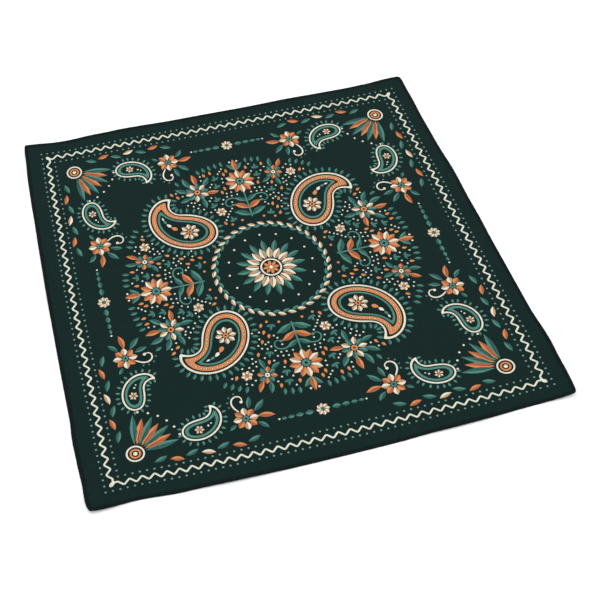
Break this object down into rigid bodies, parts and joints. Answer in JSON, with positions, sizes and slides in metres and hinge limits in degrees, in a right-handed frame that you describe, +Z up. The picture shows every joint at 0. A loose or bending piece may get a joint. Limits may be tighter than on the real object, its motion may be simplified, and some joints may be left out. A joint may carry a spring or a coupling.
{
  "type": "square dog bandana, laid flat",
  "caption": "Square cotton dog bandana with narrow rolled hems and a printed ornament, lying spread out flat with softly curled corners.",
  "frame": {"origin": "on the surface that the bandana lies on, under the middle of its bounding box", "axes": "+Z up, +Y away from the viewer towards the back hem, +X to the right hem"},
  "size_m": [0.559, 0.5614, 0.0065],
  "materials": {
    "printed_cotton": "plain-weave cotton, dark teal ground printed in orange, cream and teal",
    "hem_cotton": "plain-weave cotton rolled hem, dark teal, stitched"
  },
  "bodies": {
    "root": {"panel": "printed_cotton", "hem_front": "hem_cotton", "hem_right": "hem_cotton", "hem_back": "hem_cotton", "hem_left": "hem_cotton"}
  },
  "joints": []
}
